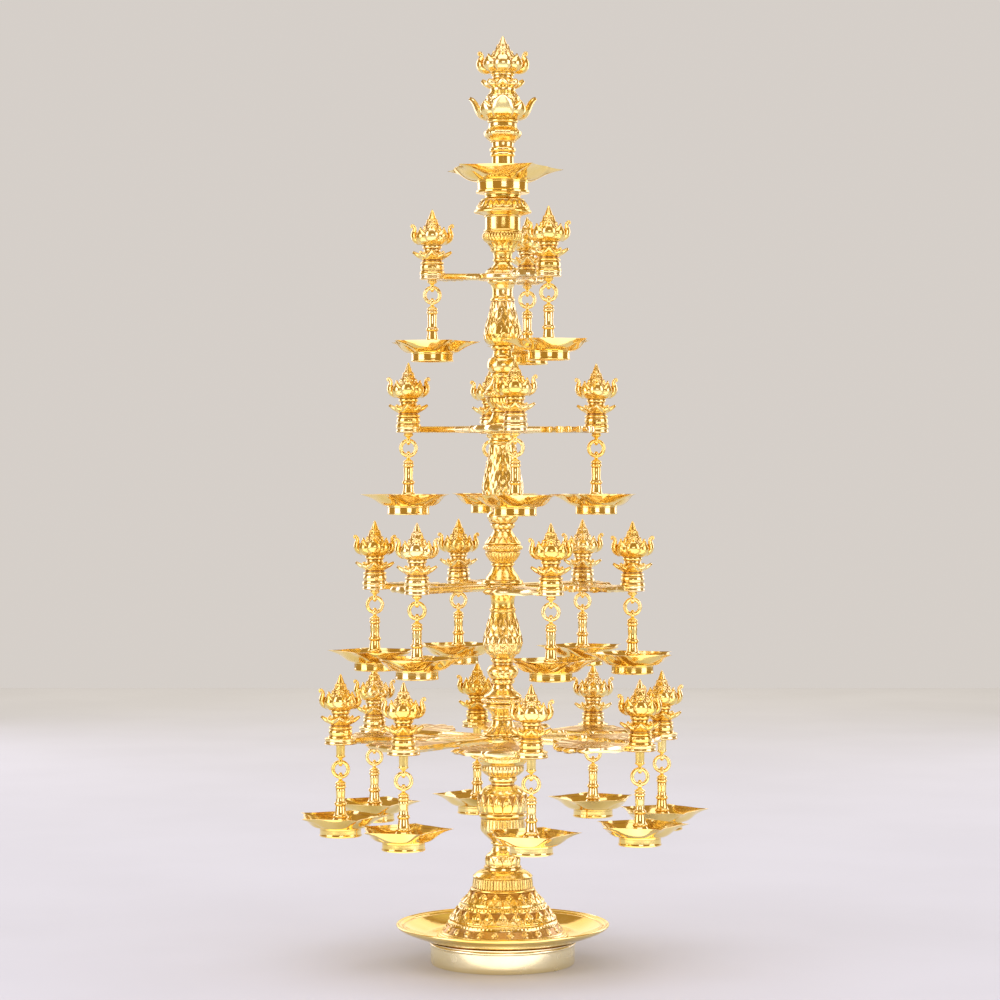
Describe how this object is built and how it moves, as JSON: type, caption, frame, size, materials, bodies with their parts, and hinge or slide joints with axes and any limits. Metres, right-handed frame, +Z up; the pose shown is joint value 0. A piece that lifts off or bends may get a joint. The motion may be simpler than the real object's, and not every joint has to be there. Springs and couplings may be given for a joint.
{
  "type": "standing oil lamp",
  "caption": "Standing polished brass oil lamp with a turned column on a dish base, tiers of scrolled arms, hanging star-shaped oil lamps on rings, and a lotus finial over a top bowl",
  "frame": {"origin": "centre of the foot ring on the surface the lamp stands on", "axes": "+Z up along the column, +X to the right and -Y towards the front, with every hanging ring's plane along X and Z"},
  "size_m": [0.5325, 0.5362, 1.199],
  "materials": {
    "polished_brass": "highly polished, mirror-bright turned surfaces",
    "cast_brass": "polished over cast and chased relief, darker in the recesses",
    "satin_brass": "satin, fine turning marks"
  },
  "bodies": {
    "stand": {"base_foot_ring": "satin_brass", "base_dish": "polished_brass", "base_bell": "cast_brass", "base_washer": "satin_brass", "base_nut": "satin_brass", "lower_column": "cast_brass", "tier_4_arms": "cast_brass", "column_section_4": "polished_brass", "tier_3_arms": "cast_brass", "column_section_3": "polished_brass", "tier_2_arms": "cast_brass", "column_section_2": "polished_brass", "tier_1_arms": "cast_brass", "column_section_1": "polished_brass", "top_lamp_bowl": "polished_brass", "top_finial_stem": "polished_brass", "top_finial": "cast_brass"},
    "ring_t4_1": {"ring_t4_1": "polished_brass"},
    "lamp_t4_1": {"lamp_t4_1": "polished_brass"},
    "ring_t4_2": {"ring_t4_2": "polished_brass"},
    "lamp_t4_2": {"lamp_t4_2": "polished_brass"},
    "ring_t4_3": {"ring_t4_3": "polished_brass"},
    "lamp_t4_3": {"lamp_t4_3": "polished_brass"},
    "ring_t4_4": {"ring_t4_4": "polished_brass"},
    "lamp_t4_4": {"lamp_t4_4": "polished_brass"},
    "ring_t4_5": {"ring_t4_5": "polished_brass"},
    "lamp_t4_5": {"lamp_t4_5": "polished_brass"},
    "ring_t4_6": {"ring_t4_6": "polished_brass"},
    "lamp_t4_6": {"lamp_t4_6": "polished_brass"},
    "ring_t4_7": {"ring_t4_7": "polished_brass"},
    "lamp_t4_7": {"lamp_t4_7": "polished_brass"},
    "ring_t4_8": {"ring_t4_8": "polished_brass"},
    "lamp_t4_8": {"lamp_t4_8": "polished_brass"},
    "ring_t3_1": {"ring_t3_1": "polished_brass"},
    "lamp_t3_1": {"lamp_t3_1": "polished_brass"},
    "ring_t3_2": {"ring_t3_2": "polished_brass"},
    "lamp_t3_2": {"lamp_t3_2": "polished_brass"},
    "ring_t3_3": {"ring_t3_3": "polished_brass"},
    "lamp_t3_3": {"lamp_t3_3": "polished_brass"},
    "ring_t3_4": {"ring_t3_4": "polished_brass"},
    "lamp_t3_4": {"lamp_t3_4": "polished_brass"},
    "ring_t3_5": {"ring_t3_5": "polished_brass"},
    "lamp_t3_5": {"lamp_t3_5": "polished_brass"},
    "ring_t3_6": {"ring_t3_6": "polished_brass"},
    "lamp_t3_6": {"lamp_t3_6": "polished_brass"},
    "ring_t2_1": {"ring_t2_1": "polished_brass"},
    "lamp_t2_1": {"lamp_t2_1": "polished_brass"},
    "ring_t2_2": {"ring_t2_2": "polished_brass"},
    "lamp_t2_2": {"lamp_t2_2": "polished_brass"},
    "ring_t2_3": {"ring_t2_3": "polished_brass"},
    "lamp_t2_3": {"lamp_t2_3": "polished_brass"},
    "ring_t2_4": {"ring_t2_4": "polished_brass"},
    "lamp_t2_4": {"lamp_t2_4": "polished_brass"},
    "ring_t1_1": {"ring_t1_1": "polished_brass"},
    "lamp_t1_1": {"lamp_t1_1": "polished_brass"},
    "ring_t1_2": {"ring_t1_2": "polished_brass"},
    "lamp_t1_2": {"lamp_t1_2": "polished_brass"},
    "ring_t1_3": {"ring_t1_3": "polished_brass"},
    "lamp_t1_3": {"lamp_t1_3": "polished_brass"}
  },
  "joints": [
    {"name": "ring_t4_1_rock", "type": "hinge", "parent": "stand", "child": "ring_t4_1", "pos_m": [0.17178, -0.12253, 0.2641], "axis": [1, 0, 0], "range_deg": [-12, 12]},
    {"name": "lamp_t4_1_swing", "type": "hinge", "parent": "ring_t4_1", "child": "lamp_t4_1", "pos_m": [0.17178, -0.12253, 0.2544], "axis": [0, 1, 0], "range_deg": [-12, 12]},
    {"name": "ring_t4_2_rock", "type": "hinge", "parent": "stand", "child": "ring_t4_2", "pos_m": [0.03483, -0.20811, 0.2641], "axis": [1, 0, 0], "range_deg": [-12, 12]},
    {"name": "lamp_t4_2_swing", "type": "hinge", "parent": "ring_t4_2", "child": "lamp_t4_2", "pos_m": [0.03483, -0.20811, 0.2544], "axis": [0, 1, 0], "range_deg": [-12, 12]},
    {"name": "ring_t4_3_rock", "type": "hinge", "parent": "stand", "child": "ring_t4_3", "pos_m": [-0.12253, -0.17178, 0.2641], "axis": [1, 0, 0], "range_deg": [-12, 12]},
    {"name": "lamp_t4_3_swing", "type": "hinge", "parent": "ring_t4_3", "child": "lamp_t4_3", "pos_m": [-0.12253, -0.17178, 0.2544], "axis": [0, 1, 0], "range_deg": [-12, 12]},
    {"name": "ring_t4_4_rock", "type": "hinge", "parent": "stand", "child": "ring_t4_4", "pos_m": [-0.20811, -0.03483, 0.2641], "axis": [1, 0, 0], "range_deg": [-12, 12]},
    {"name": "lamp_t4_4_swing", "type": "hinge", "parent": "ring_t4_4", "child": "lamp_t4_4", "pos_m": [-0.20811, -0.03483, 0.2544], "axis": [0, 1, 0], "range_deg": [-12, 12]},
    {"name": "ring_t4_5_rock", "type": "hinge", "parent": "stand", "child": "ring_t4_5", "pos_m": [-0.17178, 0.12253, 0.2641], "axis": [1, 0, 0], "range_deg": [-12, 12]},
    {"name": "lamp_t4_5_swing", "type": "hinge", "parent": "ring_t4_5", "child": "lamp_t4_5", "pos_m": [-0.17178, 0.12253, 0.2544], "axis": [0, 1, 0], "range_deg": [-12, 12]},
    {"name": "ring_t4_6_rock", "type": "hinge", "parent": "stand", "child": "ring_t4_6", "pos_m": [-0.03483, 0.20811, 0.2641], "axis": [1, 0, 0], "range_deg": [-12, 12]},
    {"name": "lamp_t4_6_swing", "type": "hinge", "parent": "ring_t4_6", "child": "lamp_t4_6", "pos_m": [-0.03483, 0.20811, 0.2544], "axis": [0, 1, 0], "range_deg": [-12, 12]},
    {"name": "ring_t4_7_rock", "type": "hinge", "parent": "stand", "child": "ring_t4_7", "pos_m": [0.12253, 0.17178, 0.2641], "axis": [1, 0, 0], "range_deg": [-12, 12]},
    {"name": "lamp_t4_7_swing", "type": "hinge", "parent": "ring_t4_7", "child": "lamp_t4_7", "pos_m": [0.12253, 0.17178, 0.2544], "axis": [0, 1, 0], "range_deg": [-12, 12]},
    {"name": "ring_t4_8_rock", "type": "hinge", "parent": "stand", "child": "ring_t4_8", "pos_m": [0.20811, 0.03483, 0.2641], "axis": [1, 0, 0], "range_deg": [-12, 12]},
    {"name": "lamp_t4_8_swing", "type": "hinge", "parent": "ring_t4_8", "child": "lamp_t4_8", "pos_m": [0.20811, 0.03483, 0.2544], "axis": [0, 1, 0], "range_deg": [-12, 12]},
    {"name": "ring_t3_1_rock", "type": "hinge", "parent": "stand", "child": "ring_t3_1", "pos_m": [0.16678, -0.02731, 0.4724], "axis": [1, 0, 0], "range_deg": [-12, 12]},
    {"name": "lamp_t3_1_swing", "type": "hinge", "parent": "ring_t3_1", "child": "lamp_t3_1", "pos_m": [0.16678, -0.02731, 0.4627], "axis": [0, 1, 0], "range_deg": [-12, 12]},
    {"name": "ring_t3_2_rock", "type": "hinge", "parent": "stand", "child": "ring_t3_2", "pos_m": [0.05974, -0.15809, 0.4724], "axis": [1, 0, 0], "range_deg": [-12, 12]},
    {"name": "lamp_t3_2_swing", "type": "hinge", "parent": "ring_t3_2", "child": "lamp_t3_2", "pos_m": [0.05974, -0.15809, 0.4627], "axis": [0, 1, 0], "range_deg": [-12, 12]},
    {"name": "ring_t3_3_rock", "type": "hinge", "parent": "stand", "child": "ring_t3_3", "pos_m": [-0.10704, -0.13078, 0.4724], "axis": [1, 0, 0], "range_deg": [-12, 12]},
    {"name": "lamp_t3_3_swing", "type": "hinge", "parent": "ring_t3_3", "child": "lamp_t3_3", "pos_m": [-0.10704, -0.13078, 0.4627], "axis": [0, 1, 0], "range_deg": [-12, 12]},
    {"name": "ring_t3_4_rock", "type": "hinge", "parent": "stand", "child": "ring_t3_4", "pos_m": [-0.16678, 0.02731, 0.4724], "axis": [1, 0, 0], "range_deg": [-12, 12]},
    {"name": "lamp_t3_4_swing", "type": "hinge", "parent": "ring_t3_4", "child": "lamp_t3_4", "pos_m": [-0.16678, 0.02731, 0.4627], "axis": [0, 1, 0], "range_deg": [-12, 12]},
    {"name": "ring_t3_5_rock", "type": "hinge", "parent": "stand", "child": "ring_t3_5", "pos_m": [-0.05974, 0.15809, 0.4724], "axis": [1, 0, 0], "range_deg": [-12, 12]},
    {"name": "lamp_t3_5_swing", "type": "hinge", "parent": "ring_t3_5", "child": "lamp_t3_5", "pos_m": [-0.05974, 0.15809, 0.4627], "axis": [0, 1, 0], "range_deg": [-12, 12]},
    {"name": "ring_t3_6_rock", "type": "hinge", "parent": "stand", "child": "ring_t3_6", "pos_m": [0.10704, 0.13078, 0.4724], "axis": [1, 0, 0], "range_deg": [-12, 12]},
    {"name": "lamp_t3_6_swing", "type": "hinge", "parent": "ring_t3_6", "child": "lamp_t3_6", "pos_m": [0.10704, 0.13078, 0.4627], "axis": [0, 1, 0], "range_deg": [-12, 12]},
    {"name": "ring_t2_1_rock", "type": "hinge", "parent": "stand", "child": "ring_t2_1", "pos_m": [0.01557, -0.12151, 0.6763], "axis": [1, 0, 0], "range_deg": [-12, 12]},
    {"name": "lamp_t2_1_swing", "type": "hinge", "parent": "ring_t2_1", "child": "lamp_t2_1", "pos_m": [0.01557, -0.12151, 0.6666], "axis": [0, 1, 0], "range_deg": [-12, 12]},
    {"name": "ring_t2_2_rock", "type": "hinge", "parent": "stand", "child": "ring_t2_2", "pos_m": [-0.12151, -0.01557, 0.6763], "axis": [1, 0, 0], "range_deg": [-12, 12]},
    {"name": "lamp_t2_2_swing", "type": "hinge", "parent": "ring_t2_2", "child": "lamp_t2_2", "pos_m": [-0.12151, -0.01557, 0.6666], "axis": [0, 1, 0], "range_deg": [-12, 12]},
    {"name": "ring_t2_3_rock", "type": "hinge", "parent": "stand", "child": "ring_t2_3", "pos_m": [-0.01557, 0.12151, 0.6763], "axis": [1, 0, 0], "range_deg": [-12, 12]},
    {"name": "lamp_t2_3_swing", "type": "hinge", "parent": "ring_t2_3", "child": "lamp_t2_3", "pos_m": [-0.01557, 0.12151, 0.6666], "axis": [0, 1, 0], "range_deg": [-12, 12]},
    {"name": "ring_t2_4_rock", "type": "hinge", "parent": "stand", "child": "ring_t2_4", "pos_m": [0.12151, 0.01557, 0.6763], "axis": [1, 0, 0], "range_deg": [-12, 12]},
    {"name": "lamp_t2_4_swing", "type": "hinge", "parent": "ring_t2_4", "child": "lamp_t2_4", "pos_m": [0.12151, 0.01557, 0.6666], "axis": [0, 1, 0], "range_deg": [-12, 12]},
    {"name": "ring_t1_1_rock", "type": "hinge", "parent": "stand", "child": "ring_t1_1", "pos_m": [0.05827, -0.07119, 0.8733], "axis": [1, 0, 0], "range_deg": [-5, 5]},
    {"name": "lamp_t1_1_swing", "type": "hinge", "parent": "ring_t1_1", "child": "lamp_t1_1", "pos_m": [0.05827, -0.07119, 0.8636], "axis": [0, 1, 0], "range_deg": [-5, 5]},
    {"name": "ring_t1_2_rock", "type": "hinge", "parent": "stand", "child": "ring_t1_2", "pos_m": [-0.09079, -0.01487, 0.8733], "axis": [1, 0, 0], "range_deg": [-5, 5]},
    {"name": "lamp_t1_2_swing", "type": "hinge", "parent": "ring_t1_2", "child": "lamp_t1_2", "pos_m": [-0.09079, -0.01487, 0.8636], "axis": [0, 1, 0], "range_deg": [-5, 5]},
    {"name": "ring_t1_3_rock", "type": "hinge", "parent": "stand", "child": "ring_t1_3", "pos_m": [0.03252, 0.08606, 0.8733], "axis": [1, 0, 0], "range_deg": [-5, 5]},
    {"name": "lamp_t1_3_swing", "type": "hinge", "parent": "ring_t1_3", "child": "lamp_t1_3", "pos_m": [0.03252, 0.08606, 0.8636], "axis": [0, 1, 0], "range_deg": [-5, 5]}
  ]
}
